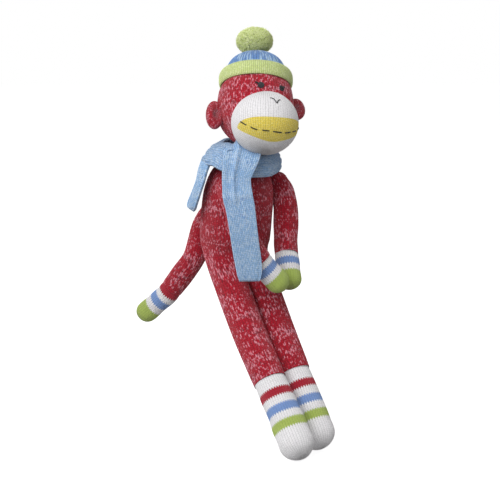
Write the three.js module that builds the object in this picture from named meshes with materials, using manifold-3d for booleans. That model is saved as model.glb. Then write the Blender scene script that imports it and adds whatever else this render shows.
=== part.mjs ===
// A knitted sock monkey: stuffed body, arms, legs and tail, a rolled hat with a yarn pompom,
// a sewn-on muzzle and a long scarf wrapped round its neck. Units are millimetres, +Z is up and
// the monkey faces -Y, so its right side is at -X. The origin is on the flat of its seat.
// Every skin is a thin knitted shell over its own stuffing, with a small gap between the two.

import * as THREE from "three";
import { mergeVertices } from "three/addons/utils/BufferGeometryUtils.js";
import Module from "manifold-3d";

const wasm = await Module();
wasm.setup();

// Driving dimensions
const KNIT = 1.5;
const GAP = 0.35;
const TORSO_WIDTH = 82;
const TORSO_DEPTH_RATIO = 0.95;
const TORSO_TOP = 128;
const LEG_RADIUS = 19;
const FOOT_RADIUS = 19.8;
const HIP = { x: 19.8, y: -25, z: 0 };
const HIP_CLEARANCE = 0.9;
const SOCK_SHARE = { right: 0.655, left: 0.648 };
const ARM_RADIUS = 13.5;
const MITTEN_SHARE = 0.75;
const TAIL_RADIUS = 13.3;
const TAIL_SOCK_SHARE = 0.645;
const HEAD_CENTRE = new THREE.Vector3(2.5, -52, 182.5);
const HEAD_TURN = THREE.MathUtils.degToRad(-11);
const HEAD_LEAN = THREE.MathUtils.degToRad(-24);
const LEAN_AXIS = new THREE.Vector3(0.819, -0.574, 0).normalize();
const NECK = { x: 0, y: -42, bottom: 132, top: 137.6, radius: 14 };
const MUZZLE = { y: -24, z: -24, width: 37, depth: 36, height: 35, knit: 1.3 };
const EAR = { thickness: 7.5, knit: 1.2 };
const EARS = {
  right: { side: -1, place: [-48.2, 6, -11.8], reach: 11, height: 16.3 },
  left: { side: 1, place: [49.3, -3, 6], reach: 12.3, height: 13.6 },
};
const HEAD_RADIUS = 42.8;
const EYE = { x: 12.5, y: -40.2, z: 12.7, radius: 3.6 };
const POMPOM = { height: 81.5, radius: 21.5, half_height: 14.5 };
const THREAD = 0.7;
const TORSO_SEGMENTS = 24;
const HEAD_SEGMENTS = 24;
const MUZZLE_MESH = [18, 9];
const EAR_MESH = [10, 7];
const SLEEVE_RINGS = 6;
const SOCK_RINGS = 4;
const SCARF = { thickness: 7, width: 34 };
const SCARF_TURN = { x: -2, y: -34, z: 125, inner: 36, outer: 46, height: 24, tilt_deg: 10 };
const MOUTH = { stitches: 7, reach: 30, half_stitch: 3.1, low: -21.5, rise: 13, span: 35 };
const NOSE_TIP = 12;
const COLOURS = {
  red: 0xb02a48,
  white: 0xe8e6e4,
  blue: 0x86aede,
  green: 0xb4cc66,
  yellow: 0xe2c64e,
  filling: 0xf2efe8,
  black: 0x17171a,
};

// Geometry helpers

function surface(colour, roughness = 0.95) {
  return new THREE.MeshStandardMaterial({ color: colour, roughness, metalness: 0 });
}

function signedVolume(position, index) {
  const a = new THREE.Vector3();
  const b = new THREE.Vector3();
  const c = new THREE.Vector3();
  let volume = 0;
  for (let i = 0; i < index.length; i += 3) {
    a.fromBufferAttribute(position, index[i]);
    b.fromBufferAttribute(position, index[i + 1]);
    c.fromBufferAttribute(position, index[i + 2]);
    volume += a.dot(b.cross(c)) / 6;
  }
  return volume;
}

// Merges shared vertices, drops the flat triangles at the poles and turns the faces outwards.
function closed(geometry) {
  geometry.deleteAttribute("normal");
  geometry.deleteAttribute("uv");
  const merged = mergeVertices(geometry, 1e-4);
  const source = merged.index.array;
  const index = [];
  for (let i = 0; i < source.length; i += 3) {
    const [a, b, c] = [source[i], source[i + 1], source[i + 2]];
    if (a !== b && b !== c && c !== a) index.push(a, b, c);
  }
  if (signedVolume(merged.getAttribute("position"), index) < 0) {
    for (let i = 0; i < index.length; i += 3) {
      [index[i], index[i + 1]] = [index[i + 1], index[i]];
    }
  }
  merged.setIndex(index);
  merged.computeVertexNormals();
  return merged;
}

function toSolid(geometry) {
  return new wasm.Manifold(
    new wasm.Mesh({
      numProp: 3,
      vertProperties: new Float32Array(geometry.getAttribute("position").array),
      triVerts: new Uint32Array(geometry.index.array),
    }),
  );
}

function fromSolid(solid) {
  const mesh = solid.getMesh();
  const geometry = new THREE.BufferGeometry();
  geometry.setAttribute("position", new THREE.BufferAttribute(mesh.vertProperties, 3));
  geometry.setIndex(Array.from(mesh.triVerts));
  geometry.computeVertexNormals();
  return geometry;
}

// What is left of a geometry after each cutter is taken away.
function cut(geometry, ...cutters) {
  let solid = toSolid(geometry);
  for (const cutter of cutters) solid = solid.subtract(toSolid(cutter));
  return fromSolid(solid);
}

// A closed turned shape from [radius, height] pairs, its axis along +Z.
function turned(profile, segments) {
  const points = profile.map(([radius, height]) => new THREE.Vector2(radius, height));
  return closed(new THREE.LatheGeometry(points, segments).rotateX(Math.PI / 2));
}

function ball(radius, segments, rings) {
  const profile = [];
  for (let i = 0; i <= rings; i++) {
    const angle = -Math.PI / 2 + (Math.PI * i) / rings;
    const isPole = i === 0 || i === rings;
    profile.push([isPole ? 0 : radius * Math.cos(angle), radius * Math.sin(angle)]);
  }
  return turned(profile, segments);
}

// Bends a turned shape along a curve: its height becomes the distance along the curve, and it
// runs on straight past either end. side is the direction that the shape's X axis keeps to.
function bent(profile, segments, curve, { side = [1, 0, 0], wide = 1, deep = 1 } = {}) {
  const geometry = turned(profile, segments);
  const length = curve.getLength();
  const position = geometry.getAttribute("position");
  const reference = new THREE.Vector3(...side);
  const point = new THREE.Vector3();
  for (let i = 0; i < position.count; i++) {
    const along = position.getZ(i);
    const share = THREE.MathUtils.clamp(along / length, 0, 1);
    const tangent = curve.getTangentAt(share);
    const across = reference.clone().addScaledVector(tangent, -reference.dot(tangent)).normalize();
    const through = tangent.clone().cross(across);
    point.copy(curve.getPointAt(share));
    point.addScaledVector(tangent, along - share * length);
    point.addScaledVector(across, position.getX(i) * wide);
    point.addScaledVector(through, position.getY(i) * deep);
    position.setXYZ(i, point.x, point.y, point.z);
  }
  return closed(geometry);
}

function path(points) {
  const curve = new THREE.CatmullRomCurve3(points.map(([x, y, z]) => new THREE.Vector3(x, y, z)));
  curve.arcLengthDivisions = 400;
  return curve;
}

// Round end of a tube as [radius, height] pairs, from its pole (or back to it) at the given height.
function roundEnd(radius, centre, direction, steps) {
  const pairs = [];
  for (let i = 0; i < steps; i++) {
    const angle = (Math.PI / 2) * (i / steps);
    pairs.push([i === 0 ? 0 : radius * Math.sin(angle), centre + direction * radius * Math.cos(angle)]);
  }
  return pairs;
}

function spaced(from, to, count) {
  return Array.from({ length: count }, (_, i) => from + ((to - from) * i) / (count - 1));
}

const monkey = new THREE.Group();

function add(name, geometry, colour, parent = monkey, roughness = 0.95) {
  const mesh = new THREE.Mesh(geometry, surface(colour, roughness));
  mesh.name = name;
  parent.add(mesh);
  return mesh;
}

// Torso: a barrel that leans forward at the shoulders, with sockets where the legs begin

const torsoCurve = path([
  [0, -12, 0],
  [0, -12, 8],
  [0, -14, 34],
  [0, -18, 66],
  [0, -25, 98],
  [0, -37, TORSO_TOP],
]);
const torsoLength = torsoCurve.getLength();
const torsoShape = [
  [0.50, 0],
  [0.72, 0.02],
  [0.87, 0.08],
  [0.96, 0.19],
  [1.0, 0.34],
  [1.0, 0.5],
  [0.98, 0.66],
  [0.89, 0.79],
  [0.74, 0.88],
  [0.53, 0.95],
  [0.36, 1.0],
];

function torsoProfile(inset) {
  const half = TORSO_WIDTH / 2;
  return torsoShape.map(([width, share]) => [width * half - inset, share * torsoLength]);
}

function hipSocket(side, clearance) {
  const radius = LEG_RADIUS + clearance;
  const forward = path([
    [side * HIP.x, HIP.y, HIP.z],
    [side * HIP.x, HIP.y - 44, HIP.z - 40],
  ]);
  const tube = [...roundEnd(radius, 0, -1, 6), [radius, 0], [radius, 40], [0, 40]];
  return bent(tube, 16, forward);
}

function makeTorso() {
  const outer = torsoProfile(0);
  const inner = torsoProfile(KNIT);
  const floor = [[inner[0][0], KNIT], [0, KNIT]];
  const wall = [[0, 0], ...outer, ...inner.slice(1).reverse(), ...floor];
  const skin = bent(wall, TORSO_SEGMENTS, torsoCurve, { deep: TORSO_DEPTH_RATIO });
  const sockets = [-1, 1].map((side) => hipSocket(side, HIP_CLEARANCE));
  add("torso_skin", cut(skin, ...sockets), COLOURS.red);

  const floorGap = KNIT + 2 * GAP;
  const filling = torsoProfile(floorGap).map(([radius, height]) => {
    return [radius, height + floorGap * Math.max(0, 1 - height / torsoLength) ** 4];
  });
  const highest = [filling.at(-1)[0] - 1, torsoLength - KNIT];
  const core = [[0, filling[0][1]], ...filling.slice(0, -1), highest, [0, torsoLength - KNIT]];
  const deeperSockets = [-1, 1].map((side) => hipSocket(side, HIP_CLEARANCE + 0.3));
  const stuffing = bent(core, TORSO_SEGMENTS, torsoCurve, { deep: TORSO_DEPTH_RATIO });
  add("torso_stuffing", cut(stuffing, ...deeperSockets), COLOURS.filling);
}

// Limbs and tail: a marled sleeve, a striped sock or mitten on its end and a core of stuffing

// radii is a list of [share of the length, radius]; both ends of the tube are round.
function makeLimb({ name, sock, points, radii, share, segments = 13 }) {
  const curve = path(points);
  const length = curve.getLength();
  const radiusAt = (t) => {
    const next = Math.max(1, radii.findIndex(([at]) => at >= t));
    const [a, ra] = radii[next - 1];
    const [b, rb] = radii[next];
    return ra + ((rb - ra) * (t - a)) / (b - a);
  };
  const seam = share * length;
  const startRadius = radii[0][1];
  const endRadius = radii.at(-1)[1];
  const wall = (from, to, count, inset) =>
    spaced(from, to, count).map((s) => [radiusAt(s / length) - inset, s]);

  const sleeve = [
    ...roundEnd(startRadius, 0, -1, 4),
    ...wall(0, seam, SLEEVE_RINGS, 0),
    ...wall(0, seam, SLEEVE_RINGS, KNIT).reverse(),
    ...roundEnd(startRadius - KNIT, 0, -1, 3).reverse(),
  ];
  add(`${name}_sleeve`, bent(sleeve, segments, curve), COLOURS.red);

  const sockProfile = [
    ...roundEnd(endRadius, length, 1, 4),
    ...wall(seam + GAP, length, SOCK_RINGS, 0).reverse(),
    ...wall(seam + GAP, length, SOCK_RINGS, KNIT),
    ...roundEnd(endRadius - KNIT, length, 1, 3).reverse(),
  ];
  add(`${name}_${sock}`, bent(sockProfile, segments, curve), COLOURS.white);

  const inset = KNIT + GAP + 0.25;
  const core = [
    ...roundEnd(startRadius - inset, 0, -1, 3),
    ...wall(0, seam, SLEEVE_RINGS, inset),
    ...wall(seam, length, SOCK_RINGS, inset).slice(1),
    ...roundEnd(endRadius - inset, length, 1, 3).reverse(),
  ];
  add(`${name}_stuffing`, bent(core, segments, curve), COLOURS.filling);
}

function makeLimbs() {
  const legRadii = [
    [0, LEG_RADIUS],
    [0.6, LEG_RADIUS - 0.6],
    [0.66, LEG_RADIUS - 1],
    [0.8, LEG_RADIUS - 0.6],
    [1, FOOT_RADIUS],
  ];
  makeLimb({
    name: "right_leg",
    sock: "foot_sock",
    radii: legRadii,
    share: SOCK_SHARE.right,
    points: [
      [-HIP.x, HIP.y, HIP.z],
      [-19.9, -49, -35],
      [-20.1, -72.5, -67],
      [-20.3, -97, -96],
      [-20.5, -137, -143],
      [-20.6, -160, -171],
    ],
  });
  makeLimb({
    name: "left_leg",
    sock: "foot_sock",
    radii: legRadii,
    share: SOCK_SHARE.left,
    points: [
      [HIP.x, HIP.y, HIP.z],
      [19.9, -48, -33],
      [20.1, -73, -70],
      [20.3, -95, -101],
      [20.5, -124, -142],
      [20.6, -143, -170],
    ],
  });
  const armRadii = [
    [0, 10.2],
    [0.12, 12.6],
    [0.4, ARM_RADIUS],
    [1, ARM_RADIUS - 0.3],
  ];
  makeLimb({
    name: "right_arm",
    sock: "mitten",
    radii: armRadii,
    share: MITTEN_SHARE,
    segments: 12,
    points: [
      [-40, -54, 98],
      [-40, -68, 84],
      [-37, -76, 61],
      [-30, -83, 38],
      [-12.5, -89.5, 10.8],
      [1, -95.5, -5],
    ],
  });
  makeLimb({
    name: "left_arm",
    sock: "mitten",
    radii: armRadii,
    share: MITTEN_SHARE,
    segments: 12,
    points: [
      [48.5, -34, 99],
      [50, -43, 84],
      [48.5, -50, 62],
      [43.5, -57, 39],
      [35.5, -68, 17],
      [28.5, -83, -6.5],
    ],
  });
  makeLimb({
    name: "tail",
    sock: "tip_sock",
    radii: [
      [0, 11.5],
      [0.15, TAIL_RADIUS - 0.4],
      [0.5, TAIL_RADIUS],
      [1, TAIL_RADIUS - 0.8],
    ],
    share: TAIL_SOCK_SHARE,
    segments: 12,
    points: [
      [-13, 35, 46],
      [-17, 36.5, 24],
      [-22, 39, 7],
      [-28, 48, -9],
      [-40, 71, -39],
      [-52, 97, -63],
    ],
  });
}

// Neck: a short gathered tube between torso and head, drawn in by a thread

function makeNeck() {
  const { x, y, bottom, top, radius } = NECK;
  const tube = [
    [radius - KNIT, bottom],
    [radius, bottom],
    [radius - 1.2, (bottom + top) / 2],
    [radius, top],
    [radius - KNIT, top],
    [radius - KNIT - 1.2, (bottom + top) / 2],
    [radius - KNIT, bottom],
  ];
  add("neck_skin", turned(tube, 20), COLOURS.red).position.set(x, y, 0);

  const inner = radius - KNIT - 1.2 - GAP;
  const core = [
    [0, bottom],
    [inner, bottom],
    [inner, top - 0.5],
    [0, top - 0.5],
  ];
  add("neck_stuffing", turned(core, 16), COLOURS.filling).position.set(x, y, 0);

  const middle = (bottom + top) / 2;
  const ring = radius - 1.2 + THREAD + GAP;
  const loop = spaced(0, 2 * Math.PI, 7).map((a) => [
    a === 0 || a === 2 * Math.PI ? ring + THREAD : ring + THREAD * Math.cos(a),
    middle + (a === 2 * Math.PI ? 0 : THREAD * Math.sin(a)),
  ]);
  add("neck_gathering_thread", turned(loop, 20), COLOURS.red).position.set(x, y, 0);
}

// Head: everything here is placed in the head's own frame, which is turned and leans back

const headProfile = [
  [0, -43],
  [13, -41],
  [24, -36],
  [33.5, -27],
  [40, -15],
  [HEAD_RADIUS, 0],
  [42.2, 12],
  [40.2, 22],
  [38, 27],
  [35.4, 32],
  [33.5, 40],
  [29.8, 48],
  [23.5, 54.5],
  [14.5, 59],
  [0, 61],
];

function headSolid(offset) {
  const last = headProfile.length - 1;
  return turned(
    headProfile.map(([radius, height], i) => {
      const isPole = i === 0 || i === last;
      const lift = offset * (height / 55);
      return [isPole ? 0 : radius + offset, height + (isPole ? Math.sign(height) * offset : lift)];
    }),
    HEAD_SEGMENTS,
  );
}

function ellipsoid(rx, ry, rz, segments, rings) {
  return closed(ball(1, segments, rings).scale(rx, ry, rz));
}

function threadStitch(from, to, lift) {
  const middle = from.clone().add(to).multiplyScalar(0.5);
  middle.setLength(middle.length() + lift);
  const curve = new THREE.CatmullRomCurve3([from, middle, to]);
  const length = curve.getLength();
  const profile = [
    [0, -THREAD * 0.6],
    [THREAD, 0],
    [THREAD, length / 2],
    [THREAD, length],
    [0, length + THREAD * 0.6],
  ];
  return bent(profile, 6, curve, { side: [0.1, 1, 0.2] });
}

// A point on the muzzle, a little above its skin, from its place across and up the muzzle.
function onMuzzle(across, up, lift) {
  const share = Math.max(0, 1 - (across / MUZZLE.width) ** 2 - (up / MUZZLE.height) ** 2);
  const point = new THREE.Vector3(across, -MUZZLE.depth * Math.sqrt(share), up);
  return point.setLength(point.length() + lift);
}

function makeHead() {
  const head = new THREE.Group();
  const turn = new THREE.Quaternion().setFromAxisAngle(new THREE.Vector3(0, 0, 1), HEAD_TURN);
  head.quaternion.setFromAxisAngle(LEAN_AXIS, HEAD_LEAN).multiply(turn);
  head.position.copy(HEAD_CENTRE);
  monkey.add(head);

  const neckPoint = new THREE.Vector3(NECK.x, NECK.y, NECK.top).sub(HEAD_CENTRE);
  neckPoint.applyQuaternion(head.quaternion.clone().invert());
  const neckAxis = new THREE.Vector3(0, 0, 1).applyQuaternion(head.quaternion.clone().invert());
  const neckHole = new THREE.CylinderGeometry(10, 10, 30, 16).rotateX(Math.PI / 2);
  const upright = new THREE.Vector3(0, 0, 1);
  neckHole.applyQuaternion(new THREE.Quaternion().setFromUnitVectors(upright, neckAxis));
  neckHole.translate(neckPoint.x, neckPoint.y, neckPoint.z);
  add("head_skin", cut(headSolid(0), headSolid(-KNIT), closed(neckHole)), COLOURS.red, head);
  add("head_stuffing", headSolid(-KNIT - GAP), COLOURS.filling, head);

  const face = new THREE.Group();
  face.position.set(0, MUZZLE.y, MUZZLE.z);
  head.add(face);
  const skull = headSolid(GAP).translate(0, -MUZZLE.y, -MUZZLE.z);
  const { width, depth, height, knit } = MUZZLE;
  const muzzleOuter = ellipsoid(width, depth, height, ...MUZZLE_MESH);
  const muzzleInner = ellipsoid(width - knit, depth - knit, height - knit, ...MUZZLE_MESH);
  add("muzzle_patch", cut(muzzleOuter, muzzleInner, skull), COLOURS.white, face);
  const inset = knit + GAP + 0.1;
  const muzzleCore = ellipsoid(width - inset, depth - inset, height - inset, ...MUZZLE_MESH);
  add("muzzle_stuffing", cut(muzzleCore, skull), COLOURS.filling, face);

  const { stitches, reach, half_stitch: half, low, rise, span } = MOUTH;
  const smile = (x) => low + rise * (x / span) ** 2;
  const lift = THREAD + GAP;
  for (let i = 0; i < stitches; i++) {
    const centre = -reach + (2 * reach * i) / (stitches - 1);
    const from = onMuzzle(centre - half, smile(centre - half), lift);
    const to = onMuzzle(centre + half, smile(centre + half), lift);
    add(`mouth_stitch_${i + 1}`, threadStitch(from, to, 0.1), COLOURS.black, face);
  }
  for (const [name, side] of [["right", -1], ["left", 1]]) {
    const from = onMuzzle(side * 1.4, NOSE_TIP + 0.8, lift);
    const to = onMuzzle(side * 7.5, NOSE_TIP + 6.5, lift);
    add(`nose_stitch_${name}`, threadStitch(from, to, 0.25), COLOURS.black, face);
  }

  for (const [name, ear] of Object.entries(EARS)) {
    const place = (geometry) => geometry.translate(...ear.place);
    const size = [ear.reach, EAR.thickness, ear.height];
    const outer = place(ellipsoid(...size, ...EAR_MESH));
    const inner = place(ellipsoid(...size.map((s) => s - EAR.knit), ...EAR_MESH));
    add(`${name}_ear`, cut(outer, inner, headSolid(GAP)), COLOURS.red, head);
    const core = place(ellipsoid(...size.map((s) => s - EAR.knit - GAP), ...EAR_MESH));
    add(`${name}_ear_stuffing`, cut(core, headSolid(GAP)), COLOURS.filling, head);

    const eye = ellipsoid(EYE.radius, EYE.radius * 0.45, EYE.radius * 0.85, 8, 5);
    const outward = new THREE.Vector3(ear.side * EYE.x, EYE.y, 0);
    eye.rotateZ(Math.atan2(outward.x, -outward.y));
    outward.setLength(HEAD_RADIUS + EYE.radius * 0.45 + GAP + 0.3);
    add(`${name}_eye_knot`, eye.translate(outward.x, outward.y, EYE.z), COLOURS.black, head);
  }

  makeHat(head);
}

// Hat: a ribbed crown, a rolled brim round its edge and a yarn pompom on top

function makeHat(head) {
  const crown = [
    [0, 66.5],
    [13.5, 65.2],
    [23.2, 61.6],
    [31, 55.8],
    [36, 48],
    [37.8, 40],
    [37.8, 31],
    [36.5, 31],
    [36.3, 40],
    [34.4, 47.4],
    [29.3, 54.2],
    [21, 59.8],
    [10.5, 62.7],
    [0, 63.5],
  ];
  add("hat_crown", turned(crown, 24), COLOURS.blue, head);
  const brim = [
    [38.1, 28.5],
    [39.4, 27.2],
    [40.8, 28.6],
    [41.6, 35],
    [41, 41.5],
    [39.6, 43.9],
    [38.1, 43],
    [38.1, 36],
    [38.1, 28.5],
  ];
  add("hat_brim", turned(brim, 24), COLOURS.green, head);
  const pompom = ellipsoid(POMPOM.radius, POMPOM.radius, POMPOM.half_height, 16, 10);
  add("pompom", pompom.translate(0, 0, POMPOM.height), COLOURS.green, head);
}

// Scarf: one long knitted strip, here as the turn round the neck and its two hanging ends

function makeScarf() {
  const { x, y, z, inner, outer, height, tilt_deg } = SCARF_TURN;
  const half = height / 2;
  const wrap = [
    [inner, half - 3],
    [inner, -half + 3],
    [inner + 3.5, -half],
    [outer - 3, -half],
    [outer, -half + 4],
    [outer, half - 4],
    [outer - 3, half],
    [inner + 3.5, half],
    [inner, half - 3],
  ];
  const ring = add("scarf_wrap", turned(wrap, 24), COLOURS.blue);
  ring.position.set(x, y, z);
  ring.rotation.x = THREE.MathUtils.degToRad(tilt_deg);

  const strip = (curve, side) => {
    const length = curve.getLength();
    const wall = spaced(3, length - 3, 8).map((s) => [1, s]);
    const profile = [[0, 0], [0.8, 0], ...wall, [0.8, length], [0, length]];
    return bent(profile, 12, curve, { side, wide: SCARF.width / 2, deep: SCARF.thickness / 2 });
  };
  const front = path([
    [-39.5, -78.5, 108],
    [-44, -85.5, 93],
    [-46.5, -91, 66],
    [-43, -97, 40],
    [-40, -98.5, 18],
    [-40, -99, -2],
  ]);
  add("scarf_front_end", strip(front, [0.819, -0.574, 0]), COLOURS.blue);
  const back = path([
    [-51.5, -22, 122],
    [-53, -18, 105],
    [-54, -11, 88],
    [-55.5, -5, 69],
  ]);
  add("scarf_back_end", strip(back, [0.38, 0.92, 0]), COLOURS.blue);
}

makeTorso();
makeNeck();
makeHead();
makeLimbs();
makeScarf();

export default monkey;
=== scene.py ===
import math

import bmesh
import bpy
import numpy as np
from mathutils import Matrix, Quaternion, Vector


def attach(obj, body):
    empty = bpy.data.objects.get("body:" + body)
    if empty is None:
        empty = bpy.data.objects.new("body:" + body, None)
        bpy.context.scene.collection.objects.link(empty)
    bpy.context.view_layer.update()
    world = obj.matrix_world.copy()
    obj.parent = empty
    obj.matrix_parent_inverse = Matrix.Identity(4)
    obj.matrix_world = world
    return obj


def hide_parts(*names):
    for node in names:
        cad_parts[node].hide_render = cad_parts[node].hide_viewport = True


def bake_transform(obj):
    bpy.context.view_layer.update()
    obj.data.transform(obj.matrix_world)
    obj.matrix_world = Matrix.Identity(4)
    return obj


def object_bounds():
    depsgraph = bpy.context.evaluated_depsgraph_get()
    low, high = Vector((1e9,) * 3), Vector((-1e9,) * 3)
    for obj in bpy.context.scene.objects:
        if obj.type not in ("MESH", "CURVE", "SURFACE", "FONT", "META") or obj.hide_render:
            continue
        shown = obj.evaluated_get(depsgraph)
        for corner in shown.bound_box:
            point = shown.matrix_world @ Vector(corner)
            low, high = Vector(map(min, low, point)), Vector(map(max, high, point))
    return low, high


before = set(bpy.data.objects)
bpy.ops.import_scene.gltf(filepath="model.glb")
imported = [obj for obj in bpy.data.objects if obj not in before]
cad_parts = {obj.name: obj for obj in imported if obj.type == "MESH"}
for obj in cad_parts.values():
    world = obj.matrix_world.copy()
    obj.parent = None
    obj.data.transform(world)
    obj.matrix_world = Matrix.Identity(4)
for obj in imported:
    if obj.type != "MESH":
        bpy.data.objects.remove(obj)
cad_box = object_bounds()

# A knitted sock monkey. Shapes are written in millimetres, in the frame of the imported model,
# and every mesh is made in metres. A stitch is one wale wide and one course high.

MM = 0.001
SEED = 7

# Gauges of the knits, in millimetres: width of a wale, height of a course and depth of relief
MARL = {"wale": 3.25, "course": 2.35, "relief": 0.5}
SOCK = {"wale": 3.0, "course": 2.1, "relief": 0.45}
MUZZLE_KNIT = {"wale": 2.85, "course": 2.1, "relief": 0.46}
BRIM_KNIT = {"wale": 2.3, "course": 1.8, "relief": 0.3}
SCARF_KNIT = {"wale": 2.45, "course": 2.0, "relief": 0.4}
PER_WALE = 6
PER_COURSE = 3
MARL_ROW = MARL["course"] / PER_COURSE

# Driving dimensions of the CAD model, in millimetres
TORSO_HALF = 41
TORSO_DEEP = 0.95
HIP = (19.8, -25, 0)
HEAD_CENTRE = (2.5, -52, 182.5)
HEAD_TURN = math.radians(-11)
HEAD_LEAN = math.radians(-24)
LEAN_AXIS = (0.819, -0.574, 0)
MUZZLE = {"y": -24, "z": -24, "width": 37, "depth": 36, "height": 35}


def rgb(red, green, blue):
    """An sRGB colour from 0 to 255 as Blender's linear colour."""
    def linear(c):
        c /= 255
        return c / 12.92 if c <= 0.04045 else ((c + 0.055) / 1.055) ** 2.4
    return (linear(red), linear(green), linear(blue), 1)


RED = rgb(188, 18, 44)
DARK_RED = rgb(120, 10, 32)
WHITE = rgb(246, 244, 246)
BLUE = rgb(126, 158, 214)
GREEN = rgb(176, 196, 98)
SOCK_RED = rgb(176, 32, 52)


# Numbers and curves

def unit(vectors):
    return vectors / np.maximum(np.linalg.norm(vectors, axis=-1, keepdims=True), 1e-12)


def smooth(x):
    x = np.clip(x, 0, 1)
    return x * x * (3 - 2 * x)


class Route:
    """A smooth curve through points in millimetres, which runs on straight past its ends."""

    def __init__(self, points, samples=80):
        p = np.array(points, float)
        p = np.vstack([2 * p[0] - p[1], p, 2 * p[-1] - p[-2]])
        parts = []
        for p0, p1, p2, p3 in zip(p, p[1:], p[2:], p[3:]):
            d0, d1, d2 = (np.linalg.norm(b - a) ** 0.5 for a, b in ((p0, p1), (p1, p2), (p2, p3)))
            leave = ((p1 - p0) / d0 - (p2 - p0) / (d0 + d1) + (p2 - p1) / d1) * d1
            arrive = ((p2 - p1) / d1 - (p3 - p1) / (d1 + d2) + (p3 - p2) / d2) * d1
            w = np.linspace(0, 1, samples, endpoint=False)[:, None]
            bend = 3 * (p2 - p1) - 2 * leave - arrive
            ease = 2 * (p1 - p2) + leave + arrive
            parts.append(p1 + leave * w + bend * w**2 + ease * w**3)
        self.points = np.vstack([*parts, p[-2:-1]])
        steps = np.linalg.norm(np.diff(self.points, axis=0), axis=1)
        self.along = np.concatenate([[0], np.cumsum(steps)])
        self.length = float(self.along[-1])
        self.marks = self.along[::samples]

    def place(self, along):
        return np.stack([np.interp(along, self.along, c) for c in self.points.T], -1)

    def at(self, along):
        """Places and unit tangents at distances along the route."""
        along = np.asarray(along, float)
        inside = np.clip(along, 0, self.length)
        step = 1.5
        ahead = self.place(np.clip(inside + step, 0, self.length))
        behind = self.place(np.clip(inside - step, 0, self.length))
        tangent = unit(ahead - behind)
        return self.place(inside) + tangent * (along - inside)[..., None], tangent


def flat_route(pairs):
    return Route([(*pair, 0) for pair in pairs])


def outline(pairs, step, ends=0):
    """A [radius, height] outline as a smooth line with a point at about every step."""
    route = flat_route(pairs)
    count = max(2, int(round(route.length / step)) + 1)
    points = route.place(np.linspace(0, route.length, count))
    return np.maximum(points[:, 0], ends), points[:, 1]


def dome(radius, centre, direction, count=7):
    """A round end as [radius, height] pairs, from its pole outwards."""
    turns = np.linspace(0, math.pi / 2, count)[:-1]
    return [[radius * math.sin(a), centre + direction * radius * math.cos(a)] for a in turns]


def rings(route, radius, height, turns, side=(1, 0, 0), wide=1.0, deep=1.0):
    """A grid of points: a ring of each radius round the route at each height."""
    place, tangent = route.at(height)
    side = np.array(side, float)
    across = unit(side - (tangent @ side)[:, None] * tangent)
    through = np.cross(tangent, across)
    wave = np.asarray(radius)[:, None, None]
    return (
        place[:, None]
        + across[:, None] * wave * wide * np.cos(turns)[..., None]
        + through[:, None] * wave * deep * np.sin(turns)[..., None]
    )


def lumps(points, size, seed):
    """Soft unevenness, from about -1 to 1, that is the same each run."""
    rng = np.random.default_rng(seed)
    total = np.zeros(points.shape[:-1])
    for _ in range(7):
        way = unit(rng.normal(size=3))
        pace = 2 * math.pi / size * rng.uniform(0.6, 1.5)
        total += np.sin(points @ way * pace + rng.uniform(0, 2 * math.pi))
    return total / 2.6


def normals(grid, wrap):
    """Unit normals of a grid of points, pointing out of it."""
    if wrap:
        across = np.roll(grid, -1, 1) - np.roll(grid, 1, 1)
    else:
        across = np.gradient(grid, axis=1)
    along = np.gradient(grid, axis=0)
    return unit(np.cross(across, along))


def outward_normals(grid, wrap):
    out = normals(grid, wrap)
    return out * facing_out(grid, out)


def facing_out(grid, direction):
    """1 or -1, whichever turns the direction away from the middle of the grid's rows."""
    middle = grid.mean(axis=1, keepdims=True)
    return 1 if np.sum(direction * (grid - middle)) > 0 else -1


def stitches(u, v):
    """The height of stocking stitch from 0 to 1: two strands a wale, leaning to its middle."""
    x = u % 1
    spread = np.abs(2 * x - 1)
    y = (v - 0.5 * spread) % 1
    strands = 0.8 * np.abs(np.sin(2 * math.pi * x)) + 0.2 * np.sin(math.pi * x)
    return strands * (0.62 + 0.38 * np.sin(math.pi * y))


# Meshes

def placed(name, data, location=(0, 0, 0)):
    """A new object of the data, in the scene."""
    made = bpy.data.objects.new(name, data)
    made.location = location
    bpy.context.scene.collection.objects.link(made)
    return made


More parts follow.
